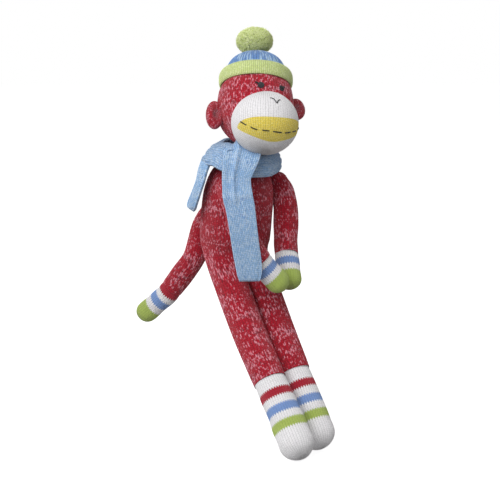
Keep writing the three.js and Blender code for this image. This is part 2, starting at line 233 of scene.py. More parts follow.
class Surface:
    """Grids of points joined into one mesh, with a UV map in wales and courses."""

    def __init__(self, name):
        self.name = name
        self.points, self.quads, self.uv = [], [], []
        self.triangles, self.triangle_uv = [], []
        self.count = 0

    def grid(self, grid, u, v, wrap=False, keep=None, caps=()):
        """Adds a grid in millimetres. u and v are its columns' and rows' stitch numbers."""
        rows, columns = grid.shape[:2]
        turn = facing_out(grid, normals(grid, wrap))
        ids = self.count + np.arange(rows * columns).reshape(rows, columns)
        if wrap:
            ids = np.hstack([ids, ids[:, :1]])
        a, b, c, d = ids[:-1, :-1], ids[:-1, 1:], ids[1:, 1:], ids[1:, :-1]
        uu, vv = np.meshgrid(u, v)
        uv = np.stack([uu, vv], -1)
        corners = [uv[:-1, :-1], uv[:-1, 1:], uv[1:, 1:], uv[1:, :-1]]
        quads = np.stack([a, b, c, d], -1).reshape(-1, 4)
        corners = np.stack(corners, -2).reshape(-1, 4, 2)
        if turn < 0:
            quads, corners = quads[:, ::-1], corners[:, ::-1]
        if keep is not None:
            chosen = keep.reshape(-1)
            quads, corners = quads[chosen], corners[chosen]
        self.points.append(grid.reshape(-1, 3))
        self.quads.append(quads)
        self.uv.append(corners)
        self.count += rows * columns
        for row in caps:
            self.cap(grid[row], ids[row], u, v[row], turn if row else -turn)
        return self

    def cap(self, ring, ids, u, v, turn):
        self.points.append(ring.mean(axis=0, keepdims=True))
        centre = np.full(len(ids) - 1, self.count)
        self.count += 1
        faces = np.stack([ids[:-1], ids[1:], centre], -1)
        middle = (u[:-1] + u[1:]) / 2
        level = np.full(len(middle), float(v))
        corners = np.stack(
            [
                np.stack([u[:-1], level], -1),
                np.stack([u[1:], level], -1),
                np.stack([middle, level + 0.5], -1),
            ],
            1,
        )
        if turn < 0:
            faces, corners = faces[:, ::-1], corners[:, ::-1]
        self.triangles.append(faces)
        self.triangle_uv.append(corners)

    def build(self, material, attributes=()):
        points = np.vstack(self.points) * MM
        quads, uv = np.vstack(self.quads), np.vstack(self.uv)
        loops, corners = [quads.reshape(-1)], [uv.reshape(-1, 2)]
        sizes = [np.full(len(quads), 4)]
        if self.triangles:
            loops.append(np.vstack(self.triangles).reshape(-1))
            corners.append(np.vstack(self.triangle_uv).reshape(-1, 2))
            sizes.append(np.full(len(loops[1]) // 3, 3))
        loops, corners, sizes = np.concatenate(loops), np.vstack(corners), np.concatenate(sizes)
        used = np.zeros(len(points), bool)
        used[loops] = True
        points, loops = points[used], (np.cumsum(used) - 1)[loops]
        mesh = bpy.data.meshes.new(self.name)
        mesh.vertices.add(len(points))
        mesh.vertices.foreach_set("co", points.reshape(-1))
        mesh.loops.add(len(loops))
        mesh.loops.foreach_set("vertex_index", loops.astype(np.int32))
        mesh.polygons.add(len(sizes))
        starts = np.concatenate([[0], np.cumsum(sizes)[:-1]])
        mesh.polygons.foreach_set("loop_start", starts.astype(np.int32))
        mesh.polygons.foreach_set("loop_total", sizes.astype(np.int32))
        mesh.uv_layers.new(name="knit").data.foreach_set("uv", corners.reshape(-1))
        for name, values in attributes:
            store = mesh.attributes.new(name, "FLOAT", "POINT")
            store.data.foreach_set("value", values.reshape(-1)[used].astype(np.float32))
        mesh.update(calc_edges=True)
        mesh.validate()
        mesh.polygons.foreach_set("use_smooth", np.ones(len(mesh.polygons), bool))
        mesh.materials.append(material)
        return placed(self.name, mesh)


def weld(piece, distance=0.02):
    """Joins points that coincide, so that a folded strip is one closed piece."""
    shape = bmesh.new()
    shape.from_mesh(piece.data)
    bmesh.ops.remove_doubles(shape, verts=shape.verts, dist=distance * MM)
    shape.to_mesh(piece.data)
    shape.free()
    return piece


def knitted(grid, gauge, u, v, wrap, soft=0.0, seed=1, size=34):
    """The grid with its stitches raised and a little unevenness in the stuffing below."""
    columns = u[:-1] if wrap else u
    spacing = np.linalg.norm(np.roll(grid, -1, 1) - grid, axis=-1)
    if not wrap:
        spacing[:, -1] = spacing[:, -2]
    wales = abs(u[1] - u[0])
    share = np.clip(spacing / (gauge["wale"] * wales), 0, 1.15)
    height = stitches(*np.meshgrid(columns, v)) * gauge["relief"] * share
    height = height + soft * lumps(grid, size, seed)
    return grid + outward_normals(grid, wrap) * height[..., None]


def stitch_columns(wales, per_wale=PER_WALE):
    """Stitch numbers of the columns of a closed ring, with the first again at the end."""
    return np.arange(wales * per_wale + 1) / per_wale


def ring_turns(u):
    return 2 * math.pi * u[:-1] / u[-1]


def circle(count):
    return np.linspace(0, 2 * math.pi, count + 1)[:-1]


def knit_tube(name, route, profile, gauge, wales, material, caps=(), soft=0.5, seed=1):
    """A knitted tube round a route, from a [radius, height] outline."""
    radius, height = outline(profile, gauge["course"] / PER_COURSE, 0.15)
    u = stitch_columns(wales)
    v = np.arange(len(radius)) / PER_COURSE
    grid = rings(route, radius, height, ring_turns(u))
    grid = knitted(grid, gauge, u, v, True, soft, seed)
    return Surface(name).grid(grid, u, v, True, caps=caps).build(material)


# Materials

class Graph:
    """A material's node tree, built by short calls."""

    def __init__(self, name):
        self.material = bpy.data.materials.new(name)
        self.material.use_nodes = True
        self.tree = self.material.node_tree
        self.tree.nodes.clear()

    def put(self, socket, value):
        if isinstance(value, bpy.types.NodeSocket):
            self.tree.links.new(value, socket)
        else:
            socket.default_value = value

    def node(self, kind, values=None, **settings):
        made = self.tree.nodes.new("ShaderNode" + kind)
        for key, value in settings.items():
            setattr(made, key, value)
        for key, value in (values or {}).items():
            self.put(made.inputs[key], value)
        return made

    def math(self, operation, *values, clamp=False):
        made = self.node("Math", operation=operation, use_clamp=clamp)
        for socket, value in zip(made.inputs, values):
            self.put(socket, value)
        return made.outputs[0]

    def times(self, *values):
        return self.math("MULTIPLY", *values)

    def fold(self, value):
        """0 halfway through each whole number and 1 at both of its ends."""
        return self.math("ABSOLUTE", self.math("MULTIPLY_ADD", value, 2.0, -1.0))

    def mix(self, share, first, second, blend="MIX"):
        made = self.node("Mix", data_type="RGBA", blend_type=blend)
        self.put(made.inputs[0], share)
        self.put(made.inputs[6], first)
        self.put(made.inputs[7], second)
        return made.outputs[2]

    def step(self, value, low, high, start=0.0, end=1.0):
        made = self.node("MapRange", interpolation_type="SMOOTHSTEP")
        for socket, v in zip(made.inputs, (value, low, high, start, end)):
            self.put(socket, v)
        return made.outputs[0]

    def noise(self, *place, scale=1.0, detail=1.0):
        spot = self.node("CombineXYZ", dict(enumerate(place))).outputs[0]
        return self.node("TexNoise", {"Vector": spot, "Scale": scale, "Detail": detail}).outputs[0]

    def finish(self, colour, height, distance, roughness=0.9, sheen=0.25):
        bump = self.node("Bump", {"Height": height, "Distance": distance, "Strength": 1.0})
        shader = self.node(
            "BsdfPrincipled",
            {
                "Base Color": colour,
                "Roughness": roughness,
                "Normal": bump.outputs[0],
                "Sheen Weight": sheen,
                "Sheen Roughness": 0.5,
                "Specular IOR Level": 0.2,
            },
        )
        output = self.node("OutputMaterial")
        self.tree.links.new(shader.outputs[0], output.inputs[0])
        return self.material


def stripes(graph, row, courses, bands):
    """A colour by course: bands is a list of (first course, colour)."""
    ramp = graph.node("ValToRGB")
    ramp.color_ramp.interpolation = "CONSTANT"
    stops = ramp.color_ramp.elements
    while len(stops) < len(bands):
        stops.new(1.0)
    for stop, (first, colour) in zip(stops, bands):
        stop.position = first / courses
        stop.color = colour
    graph.put(ramp.inputs[0], graph.math("DIVIDE", row, courses))
    return ramp.outputs[0]


def knit_material(name, colour, courses=1, flecks=None, fleck_mix=0.75, dark=0.3, edge=1.3,
                  lip=None, fuzz=0.25, dye=0.0, slope=0.5, shade=1.0, grain=0.5):
    """Stocking stitch, with painted shade between its stitches. colour is one colour or a list of
    bands; flecks is (colour, threshold).
    """
    g = Graph(name)
    place = g.node("SeparateXYZ", {0: g.node("UVMap", uv_map="knit").outputs[0]})
    u, v = place.outputs[0], place.outputs[1]
    spread = g.fold(g.math("FRACT", u))
    row = g.math("MULTIPLY_ADD", spread, -slope, v)
    half = g.math("FLOOR", g.times(u, 2.0))
    if isinstance(colour, list):
        zigzag = g.math("MULTIPLY_ADD", spread, -edge, v)
        base = stripes(g, zigzag, courses, colour)
    else:
        base = colour
    if lip is not None:
        patch, light = lip
        signed = g.node("Attribute", attribute_name="patch").outputs["Fac"]
        inside = g.step(signed, -0.15, 0.15)
        tint = g.mix(g.step(g.noise(half, row, 3.0), 0.45, 0.7), patch, light)
        base = g.mix(inside, base, tint)
    yarn = g.noise(g.times(half, 3.7), g.times(row, 0.9), 1.0)
    base = g.mix(g.step(yarn, 0.3, 0.7, 0.0, dark), base, (0, 0, 0, 1), "MULTIPLY")
    for i, (fleck, threshold) in enumerate(flecks or ()):
        line = g.times(half, 7.31 + i)
        mark = g.noise(line, g.times(row, grain), 9.0 + 4 * i, detail=2.0)
        level = threshold
        if dye:
            band = g.noise(g.times(u, 0.07), g.times(v, 0.16), 5.0)
            level = g.math("MULTIPLY_ADD", g.math("SUBTRACT", band, 0.5), dye, threshold)
        over = g.math("SUBTRACT", mark, level)
        base = g.mix(g.step(over, -0.04, 0.1, 0.0, fleck_mix), base, fleck)
    turn = g.math("FRACT", row)
    # Painted shade: the colour is darkened in the grooves between the wales, along the cleft in each
    # wale's middle and in the gaps between courses, by an amount that shade scales.
    groove_shade = g.step(spread, 0.62, 1.0, 1.0, 1.0 - 0.4 * shade)
    cleft_shade = g.step(spread, 0.0, 0.22, 1.0 - 0.2 * shade, 1.0)
    gap = g.step(g.fold(turn), 0.55, 1.0, 1.0, 1.0 - 0.24 * shade)
    depth = g.times(g.times(groove_shade, cleft_shade), gap)
    shadow = g.node("CombineColor", {0: depth, 1: depth, 2: depth}).outputs[0]
    base = g.mix(1.0, base, shadow, "MULTIPLY")
    strand = g.math("FRACT", g.times(u, 2.0))
    ridge = g.math("SINE", g.times(strand, math.pi))
    loop = g.math("SINE", g.times(turn, math.pi))
    twist = g.math("ADD", g.times(row, 2.0), strand)
    ply = g.math("SINE", g.times(twist, 6.2832))
    height = g.times(ridge, g.math("MULTIPLY_ADD", loop, 0.4, 0.6))
    height = g.math("MULTIPLY_ADD", ply, 0.08, height)
    return g.finish(base, height, 0.00035, sheen=fuzz)


def yarn_material(name, colour, dark, light, twist=900.0):
    """Loose yarn or sewing thread: fine plies and an uneven tone."""
    g = Graph(name)
    where = g.node("TexCoord").outputs["Object"]
    tone = g.node("TexNoise", {"Vector": where, "Scale": twist, "Detail": 2.0}).outputs[0]
    wide = g.node("TexNoise", {"Vector": where, "Scale": 90.0, "Detail": 2.0}).outputs[0]
    base = g.mix(g.step(tone, 0.35, 0.65), dark, colour)
    base = g.mix(g.step(wide, 0.45, 0.7), base, light)
    return g.finish(base, tone, 0.0002)


def tuft_material(name, dark, colour, light):
    """Cut yarn ends, coloured by depth: painted shade darkens them towards their roots and the core,
    and a painted highlight, of a random strength for each tuft, lightens their tips.
    """
    g = Graph(name)
    depth = g.node("Attribute", attribute_name="depth").outputs["Fac"]
    tint = g.node("Attribute", attribute_name="tint").outputs["Fac"]
    # Painted shade near the roots, where the tufts shade each other.
    base = g.mix(g.step(depth, 0.2, 0.9), dark, colour)
    # Painted highlight towards the tips.
    base = g.mix(g.times(tint, depth), base, light)
    where = g.node("TexCoord").outputs["Object"]
    tone = g.node("TexNoise", {"Vector": where, "Scale": 1400.0, "Detail": 1.0}).outputs[0]
    return g.finish(base, tone, 0.0001)


MATERIALS = {
    "marl": knit_material(
        "red_marl", RED, flecks=[(rgb(240, 158, 174), 0.545), (DARK_RED, 0.6)],
        dye=0.38, dark=0.3, shade=1.5,
    ),
    "muzzle": knit_material(
        "muzzle_knit", WHITE, lip=(rgb(240, 216, 88), rgb(246, 232, 140)), dark=0.12, shade=1.1
    ),
    "hat": knit_material(
        "hat_marl", rgb(110, 152, 212), flecks=[(rgb(190, 218, 240), 0.5)],
        dark=0.2, fleck_mix=0.75, grain=0.09, shade=1.5,
    ),
    "brim": knit_material(
        "brim_knit", rgb(214, 230, 150), flecks=[(rgb(236, 244, 190), 0.53)],
        dark=0.15, fleck_mix=0.6, shade=1.4,
    ),
    "scarf": knit_material(
        "scarf_marl", rgb(158, 196, 238), flecks=[(rgb(212, 232, 250), 0.5), (rgb(98, 138, 204), 0.6)],
        dark=0.15, fleck_mix=0.6, dye=0.3, shade=1.5,
    ),
    "filling": yarn_material(
        "fibre_filling", rgb(240, 238, 232), rgb(214, 210, 202), rgb(250, 249, 246), 300.0
    ),
    "thread": yarn_material("black_thread", rgb(26, 25, 28), rgb(12, 12, 14), rgb(58, 56, 60)),
    "red_thread": yarn_material("red_thread", RED, DARK_RED, rgb(200, 70, 90)),
    # The pompom's dark colour is painted shade and its light colour a painted highlight.
    "pompom": tuft_material("pompom_yarn", rgb(128, 146, 62), rgb(218, 232, 142), rgb(248, 252, 212)),
}


def declare(piece, body, nodes):
    """Rides the piece on its body, or, given a joint's bodies and ends, only bakes its place into its
    mesh; and hides the model's parts that it stands for.
    """
    if isinstance(body, str):
        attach(piece, body)
    else:
        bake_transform(piece)
    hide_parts(*nodes)
    return piece


# Torso and legs: one tube from the shoulders to the waist, which parts into the two legs

TORSO_ROUTE = Route([
    (0, -12, 0), (0, -12, 8), (0, -14, 34), (0, -18, 66), (0, -25, 98), (0, -37, 128),
])
TORSO_SHAPE = [
    (0.50, 0), (0.72, 0.02), (0.87, 0.08), (0.96, 0.19), (1.0, 0.34), (1.0, 0.5),
    (0.98, 0.66), (0.89, 0.79), (0.74, 0.88), (0.53, 0.95), (0.36, 1.0),
]
WAIST = 36
TUCK = 1.4  # how far the torso's lower edge is drawn in under the tops of the legs
TORSO_WALES = 76
LEGS = {
    "right": {
        "side": -1,
        "seam": 0.655,
        "route": Route([
            (-19.8, -25, 0), (-19.9, -49, -35), (-20.1, -72.5, -67),
            (-20.3, -97, -96), (-20.5, -137, -143), (-20.6, -160, -171),
        ]),
    },
    "left": {
        "side": 1,
        "seam": 0.648,
        "route": Route([
            (19.8, -25, 0), (19.9, -48, -33), (20.1, -73, -70),
            (20.3, -95, -101), (20.5, -124, -142), (20.6, -143, -170),
        ]),
    },
}
LEG_RADII = ([0, 0.6, 0.66, 0.8, 1], [19, 18.4, 18, 18.4, 19.8])


def torso_radius(height):
    line = flat_route([(w * TORSO_HALF, s * TORSO_ROUTE.length) for w, s in TORSO_SHAPE])
    return np.interp(height, line.points[:, 1], line.points[:, 0])


def fillet(grid, wrap):
    """The body swells a little where the tail leaves it."""
    spine, _ = TAIL_ROOT.at(np.linspace(0, 90, 46))
    gap = np.min(np.linalg.norm(grid[:, :, None] - spine, axis=-1), -1) - 12.5
    swell = 5.0 * np.exp(-np.maximum(gap, 0) / 5.0) * (gap < 30)
    return grid + outward_normals(grid, wrap) * swell[..., None]


def make_torso():
    tucked = 2 * PER_COURSE
    heights = np.arange(WAIST - tucked * MARL_ROW, TORSO_ROUTE.length + 1, MARL_ROW)
    u = stitch_columns(TORSO_WALES)
    turns = -math.pi / 2 - ring_turns(u)
    below = np.clip((WAIST + MARL_ROW - heights) / (tucked * MARL_ROW), 0, 1)
    radius = torso_radius(heights) - TUCK * below
    grid = rings(TORSO_ROUTE, radius, heights, turns, deep=TORSO_DEEP)
    v = (tucked - np.arange(len(heights))) / PER_COURSE
    grid = knitted(fillet(grid, True), MARL, u, v, True)
    piece = Surface("torso_knit").grid(grid, u, v, True, caps=(-1,)).build(MATERIALS["marl"])
    declare(piece, "torso", ["torso_skin"])


def leg_radius(route, along):
    return np.interp(along / route.length, *LEG_RADII)


def make_leg(name, leg):
    """Half of the hips and a leg, sewn up its inner side, with the fork of the body between."""
    route, side = leg["route"], leg["side"]
    wales = TORSO_WALES // 2
    u = stitch_columns(wales)
    share = u / wales
    fork_rows = int(62 / MARL["course"]) * PER_COURSE
    q = np.linspace(0, 1, fork_rows)
    reach = 40
    heights = WAIST * (1 - q)
    torso = rings(
        TORSO_ROUTE, torso_radius(heights), heights,
        -math.pi / 2 + side * math.pi * share, deep=TORSO_DEEP,
    )
    along = reach * q - 30 * (1 - q)
    turns = side * 2 * math.pi * share
    start = 0 if side < 0 else math.pi
    leg_part = rings(route, leg_radius(route, along), along, start - turns)
    weight = smooth(q)[:, None, None]
    fork = torso * (1 - weight) + leg_part * weight
    low = np.arange(reach + MARL_ROW, leg["seam"] * route.length, MARL_ROW)
    shaft = rings(route, leg_radius(route, low), low, start - turns)
    grid = np.vstack([fork, shaft])
    v = np.arange(len(grid)) / PER_COURSE
    if side > 0:
        u = u + wales
    knit = knitted(fillet(grid, False), MARL, u, v, False)
    middle_edge = (knit[fork_rows:, 0] + knit[fork_rows:, -1]) / 2
    knit[fork_rows:, 0] = knit[fork_rows:, -1] = middle_edge
    surface = Surface(f"{name}_leg_knit").grid(knit, u, v)
    wall = np.linspace(0, 1, 13)[None, :, None]
    front, back = knit[:fork_rows, :1], knit[:fork_rows, -1:]
    gusset = front + (back - front) * wall
    surface.grid(gusset, np.arange(13) * 1.0, v[:fork_rows])
    piece = surface.build(MATERIALS["marl"])
    hip = np.array([side * HIP[0], HIP[1], HIP[2]])
    start_at = tuple((hip + (0, 11, 34)) * MM)
    end_at = tuple((hip + (0, -17, -24)) * MM)
    declare(
        piece, ("torso", f"{name}_leg", start_at, end_at),
        [f"{name}_leg_sleeve"],
    )


def sock_profile(route, seam, radii, lap=1.2):
    """The outline of a sock on the end of a limb, from its seam to the round end."""
    start = seam * route.length
    end = route.length
    count = 8
    walls = [
        [float(np.interp(s / end, *radii)) - (0.25 if i else 0.9), s]
        for i, s in enumerate(np.linspace(start - lap, end, count))
    ]
    return walls + dome(radii[1][-1] - 0.25, end, 1)[::-1]


def make_sock(name, stripes_name, route, seam, radii, bands, wales, body, node):
    """A striped sock over the end of a limb. bands is a list of (first course, colour)."""
    profile = sock_profile(route, seam, radii)
    courses = flat_route(profile).length / SOCK["course"]
    material = knit_material(stripes_name, bands, courses, dark=0.12, shade=0.9)
    piece = knit_tube(name, route, profile, SOCK, wales, material, caps=(-1,))
    declare(piece, body, [node])


def make_foot(name, leg):
    bands = [
        (0, WHITE), (6.9, SOCK_RED), (11.2, WHITE), (15.6, BLUE), (20.2, WHITE), (24.4, GREEN),
        (29.2, WHITE),
    ]
    make_sock(
        f"{name}_foot_sock_knit", f"{name}_foot_stripes", leg["route"], leg["seam"], LEG_RADII,
        bands, 40, f"{name}_leg", f"{name}_leg_foot_sock",
    )


# Arms and tail

ARM_RADII = ([0, 0.12, 0.4, 1], [10.2, 12.6, 13.5, 13.2])
ARMS = {
    "right": Route([
        (-40, -54, 98), (-40, -68, 84), (-37, -76, 61),
        (-30, -83, 38), (-12.5, -89.5, 10.8), (1, -95.5, -5),
    ]),
    "left": Route([
        (47.5, -33.5, 99), (48.4, -42, 84), (46.8, -49, 62),
        (42, -56, 39), (34.5, -67.5, 17), (27.7, -82.5, -6.8),
    ]),
}
ARM_SEAM = 0.75
TAIL_RADII = ([0, 0.15, 0.5, 1], [11.5, 12.9, 13.3, 12.5])
TAIL_END = [(-17, 36.5, 24), (-22, 39, 7), (-28, 48, -9), (-40, 71, -39), (-52, 97, -63)]
TAIL = Route([(-13, 35, 46), *TAIL_END])
TAIL_SEAM = 0.645
TAIL_ROOT = Route([(-5, 12, 84), (-8, 21, 68), (-13, 33, 46), *TAIL_END])


def sleeve_profile(route, seam, radii):
    heights = np.linspace(0, seam * route.length, 9)
    walls = [[float(np.interp(s / route.length, *radii)), s] for s in heights]
    return dome(radii[1][0], 0, -1) + walls


def make_arm(name):
    route = ARMS[name]
    profile = sleeve_profile(route, ARM_SEAM, ARM_RADII)
    piece = knit_tube(
        f"{name}_arm_knit", route, profile, MARL, 27, MATERIALS["marl"], caps=(0,), seed=11
    )
    declare(piece, f"{name}_arm", [f"{name}_arm_sleeve"])
    bands = [(0, WHITE), (3.4, BLUE), (7.6, WHITE), (11.2, GREEN)]
    make_sock(
        f"{name}_mitten_knit", f"{name}_mitten_stripes", route, ARM_SEAM, ARM_RADII,
        bands, 28, f"{name}_arm", f"{name}_arm_mitten",
    )


def make_tail():
    root = TAIL_ROOT
    lead = root.length - TAIL.length
    seam = lead + TAIL_SEAM * TAIL.length
    radii = (
        [0, lead * 0.5, lead, lead + 15, lead + 60, root.length],
        [5, 9.5, 12.2, 12.9, 13.3, 12.5],
    )
    along = np.arange(0, seam, MARL_ROW)
    wales = 27
    u = stitch_columns(wales)
    grid = rings(root, np.interp(along, *radii), along, ring_turns(u))
    v = np.arange(len(along)) / PER_COURSE
    grid = knitted(grid, MARL, u, v, True, 0.4, 5)
    piece = Surface("tail_knit").grid(grid, u, v, True, caps=(0,)).build(MATERIALS["marl"])
    start, end = (-9 * MM, 24 * MM, 60 * MM), (-17 * MM, 37 * MM, 24 * MM)
    declare(piece, ("torso", "tail", start, end), ["tail_sleeve"])
    bands = [(0, SOCK_RED), (3.6, WHITE), (7.2, BLUE), (12.2, WHITE), (16.8, GREEN)]
    make_sock(
        "tail_tip_knit", "tail_stripes", TAIL, TAIL_SEAM, TAIL_RADII,
        bands, 28, "tail", "tail_tip_sock",
    )


# Head

HEAD_SPIN = Quaternion(Vector(LEAN_AXIS).normalized(), HEAD_LEAN) @ Quaternion((0, 0, 1), HEAD_TURN)
HEAD_TURN_MATRIX = np.array(HEAD_SPIN.to_matrix())
HEAD_PROFILE = [
    (0.4, -43), (13, -41), (24, -36), (33.5, -27), (40, -15), (42.8, 0), (42.2, 12), (40.2, 22),
    (38, 27), (35.4, 32), (33.5, 40), (29.8, 48), (23.5, 54.5), (14.5, 59), (0.4, 61),
]


def in_head(points):
    """Points of the head's own frame in the model's frame, in millimetres."""
    return points @ HEAD_TURN_MATRIX.T + np.array(HEAD_CENTRE, float)


def turned(radius, height, turns):
    return np.stack(
        [
            radius[:, None] * np.cos(turns),
            radius[:, None] * np.sin(turns),
            np.broadcast_to(height[:, None], (len(height), len(turns))),
        ],
        -1,
    )


def turned_knit(name, profile, gauge, wales, material, caps=(), soft=0.0, per_wale=PER_WALE):
    radius, height = outline(profile, gauge["course"] / PER_COURSE, 0.3)
    u = stitch_columns(wales, per_wale)
    v = np.arange(len(radius)) / PER_COURSE
    grid = turned(radius, height, ring_turns(u))
    grid = knitted(grid, gauge, u, v, True, soft, 2)
    return Surface(name).grid(in_head(grid), u, v, True, caps=caps).build(material)


def head_radius(height):
    line = flat_route(HEAD_PROFILE)
    return np.interp(height, line.points[:, 1], line.points[:, 0])


def seen_faces(grid, sunk, lowest=-math.inf):
    """Which faces of a closed grid are not wholly in the head, more than sunk under its skin."""
    inside = np.hypot(grid[..., 0], grid[..., 1]) < head_radius(grid[..., 2]) - sunk
    inside &= grid[..., 2] > lowest
    inside = np.hstack([inside, inside[:, :1]])
    return ~(inside[:-1, :-1] & inside[1:, :-1] & inside[:-1, 1:] & inside[1:, 1:])


def muzzle_point(across, up, lift=0.0):
    """A point on the muzzle in the head's own frame, from its place across and up."""
    share = np.maximum(0, 1 - (across / MUZZLE["width"]) ** 2 - (up / MUZZLE["height"]) ** 2)
    point = np.stack([across, -MUZZLE["depth"] * np.sqrt(share), up], -1)
    point = point + unit(point) * lift
    return point + np.array([0, MUZZLE["y"], MUZZLE["z"]])


def make_head():
    marl = MATERIALS["marl"]
    piece = turned_knit("head_knit", HEAD_PROFILE, MARL, 84, marl, (0, -1), 0.5, per_wale=5)
    declare(piece, "head", ["head_skin"])
    make_muzzle()
    make_face()
    for name in EARS:
        make_ear(name)


LIP = {"reach": math.radians(84), "half": 11.5}


def lip_middle(across):
    return -17.4 + 0.0065 * across**2 + 0.08 * across


def make_muzzle():
    gauge = MUZZLE_KNIT
    wales, per_wale = 80, 5
    rows = int(math.pi * MUZZLE["height"] / gauge["course"] * 3)
    tilt = np.linspace(-math.pi / 2 + 0.02, math.pi / 2 - 0.3, rows)
    u = stitch_columns(wales, per_wale)
    v = np.linspace(0, math.pi * MUZZLE["height"] / gauge["course"], rows)
    turns = ring_turns(u)
    radius, height = np.cos(tilt), np.sin(tilt)
    grid = turned(radius, height, turns) * [MUZZLE["width"], MUZZLE["depth"], MUZZLE["height"]]
    knit = knitted(grid, gauge, u, v, True)
    across, up = grid[..., 0], grid[..., 2]
    turn = np.arctan2(across, -grid[..., 1]) / LIP["reach"]
    thick = LIP["half"] * np.maximum(0, 1 - turn**2) ** 0.7
    signed = np.where(np.abs(turn) < 1, thick - np.abs(up - lip_middle(across)), -5)
    knit = knit + [0, MUZZLE["y"], MUZZLE["z"]]
    keep = seen_faces(knit, 2.5, HEAD_PROFILE[0][1] + 2)
    surface = Surface("muzzle_knit").grid(in_head(knit), u, v, True, keep=keep, caps=(0,))
    signed = np.append(signed.reshape(-1), -5.0)
    piece = surface.build(MATERIALS["muzzle"], [("patch", signed)])
    declare(piece, "head", ["muzzle_patch"])


def thread(name, points, radius, node, body="head", colour="black_thread"):
    """A stitch of two-ply thread through points of the model's frame, in millimetres."""
    route = Route(points, 24)
    step = 0.3
    along = np.linspace(0, route.length, max(8, int(route.length / step)))
    turns = np.linspace(0, 2 * math.pi, 11)
    taper = np.clip(np.minimum(along, route.length - along) / radius, 0.25, 1) ** 0.5
    wave = 1 + 0.16 * np.cos(2 * (turns[None, :-1] - along[:, None] * 2.2))
    grid = rings(route, radius * taper, along, turns[:-1], side=(0.3, 0.5, 0.81))
    centre = route.at(along)[0][:, None]
    grid = centre + (grid - centre) * wave[..., None]
    surface = Surface(name).grid(grid, turns, along, True, caps=(0, -1))
    material = MATERIALS["thread" if colour == "black_thread" else colour]
    return declare(surface.build(material), body, [node])


SMILE = [
    (-34.2, -7.8), (-30, -12.7), (-25.6, -15.9), (-20.1, -18.8), (-14.5, -19.7), (-8.2, -20.2),
    (1.5, -20.4),
    (11.4, -19.4), (18.6, -16.6), (22.7, -14.8), (28.2, -11.6), (31.5, -8.6), (34.2, -4.6),
]
MOUTH_DASHES = [
    (-34, -30), (-25.7, -20.1), (-14.5, -8.2), (-3.2, 6.3), (11.4, 17.8), (21.6, 26.8),
    (31.4, 34.0),
]


def smile(across):
    line = flat_route(SMILE)
    return np.interp(across, line.points[:, 0], line.points[:, 1])


def make_face():
    for i, (low, high) in enumerate(MOUTH_DASHES):
        across = np.array([low - 0.5, low, (low + high) / 2, high, high + 0.5])
        lift = np.array([-1.4, 0.25, 0.5, 0.25, -1.4])
        points = in_head(muzzle_point(across, smile(across), lift[:, None]))
        thread(f"mouth_thread_{i + 1}", points, 0.62, f"mouth_stitch_{i + 1}")
    strokes = {
        "right": [(-8.4, 16.7), (-7.4, 16.5), (-4.8, 15.7), (-2.8, 12.6), (-1.6, 10.2), (-1.3, 9.6)],
        "left": [(-1.0, 10.2), (-0.8, 10.9), (0.2, 13.2), (1.6, 14.7), (3.2, 15.7), (4, 16)],
    }
    for name, stroke in strokes.items():
        across, up = np.array(stroke).T
        lift = np.array([-1.2, 0.4, 0.7, 0.7, 0.4, -1.2])
        points = in_head(muzzle_point(across, up, lift[:, None]))
        thread(f"nose_thread_{name}", points, 0.48, f"nose_stitch_{name}")
    for name, side in (("right", -1), ("left", 1)):
        make_eye(name, side)


EYE = {"across": 12.4, "up": 12.3, "wide": 3.3, "high": 3.1}


def on_skull(across, up, lift):
    """A point over the head's skin in the head's own frame."""
    radius = head_radius(up) + lift
    depth = np.sqrt(np.maximum(radius**2 - across**2, 0))
    return np.stack([across, -depth, up], -1)


def make_eye(name, side):
    """A satin-stitched eye: short threads side by side, and one lash."""
    surface = Surface(f"{name}_eye_thread")
    rows = 8
    turns = np.linspace(0, 2 * math.pi, 9)
    centre = side * EYE["across"]
    lines = []
    for i in range(rows):
        offset = (i + 0.5) / rows * 2 - 1
        half = EYE["high"] * math.sqrt(1 - offset**2) + 0.35
        x = centre + offset * EYE["wide"]
        bulge = 1.5 * math.sqrt(1 - offset**2) + 0.5
        t = np.array([-1.12, -1, -0.5, 0, 0.5, 1, 1.12])
        up = EYE["up"] + half * t + 0.35 * offset
        lines.append((np.full(7, x), up, np.array([-1.2, 0.3, 0.8, 1, 0.8, 0.3, -1.2]) * bulge))
    lash = np.array([-0.1, 0, 0.5, 1, 1.1])
    for reach, rise in ((3.0, 2.4), (3.6, 0.9)):
        x = centre + side * (1.9 + reach * lash)
        lines.append((x, EYE["up"] + 1.6 + rise * lash, np.array([-1, 0.6, 0.8, 0.5, -1])))
    for x, up, lift in lines:
        route = Route(in_head(on_skull(x, up, lift)), 16)
        along = np.linspace(0, route.length, 22)
        radius = np.full(22, 0.52)
        grid = rings(route, radius, along, turns[:-1], side=(0.819, -0.574, 0))
        surface.grid(grid, turns, along, True, caps=(0, -1))
    piece = surface.build(MATERIALS["thread"])
    declare(piece, "head", [f"{name}_eye_knot"])


EARS = {
    "right": {"place": (-47.3, 6, -11.8), "wide": 9.9, "high": 16.3},
    "left": {"place": (48.3, -3, 7), "wide": 10.6, "high": 12.4},
}


